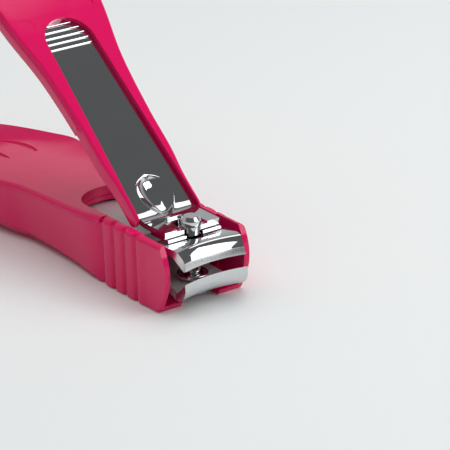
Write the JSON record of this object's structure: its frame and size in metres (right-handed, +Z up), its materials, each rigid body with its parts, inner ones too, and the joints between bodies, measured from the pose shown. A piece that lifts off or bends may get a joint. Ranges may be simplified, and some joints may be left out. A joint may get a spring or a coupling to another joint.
{
  "type": "nail clipper",
  "caption": "Compound-lever nail clipper with curved steel jaws, round pivot post, raised steel and plastic lever, and a flared plastic catcher case",
  "frame": {"origin": "centre of the flat part of the case's base, midway along the 100 mm case body", "axes": "+X towards the jaws along the case, +Y to the left of the jaws seen from above, +Z up from the base"},
  "size_m": [0.1034, 0.0296, 0.0673],
  "materials": {
    "gloss_plastic_pink": "gloss",
    "chrome_steel": "polished"
  },
  "bodies": {
    "case": {"case_body": "gloss_plastic_pink", "case_top_cover": "gloss_plastic_pink", "case_bottom_tray": "gloss_plastic_pink", "lower_leaf": "chrome_steel", "rear_rivet_front": "chrome_steel", "rear_rivet_back": "chrome_steel"},
    "upper_blade": {"upper_leaf": "chrome_steel"},
    "pivot_post": {"post": "chrome_steel", "post_collar": "chrome_steel"},
    "lever": {"lever_plate": "chrome_steel", "lever_frame_top": "gloss_plastic_pink", "lever_frame_bottom": "gloss_plastic_pink"}
  },
  "joints": [
    {"name": "lever_press", "type": "hinge", "parent": "case", "child": "lever", "pos_m": [0.045, 0, 0.0153], "axis": [0, -1, 0], "range_deg": [0, 14], "stiffness_Nm_per_rad": 0.4},
    {"name": "upper_leaf_flex", "type": "hinge", "parent": "case", "child": "upper_blade", "pos_m": [-0.016, 0, 0.006], "axis": [0, 1, 0], "range_deg": [0, 2.05], "stiffness_Nm_per_rad": 5},
    {"name": "post_turn", "type": "hinge", "parent": "case", "child": "pivot_post", "pos_m": [0.045, 0, 0], "axis": [0, 0, 1], "continuous": true}
  ],
  "couplings": [
    {"joint": "upper_leaf_flex", "follows": "lever_press", "ratio": 0.1429}
  ]
}
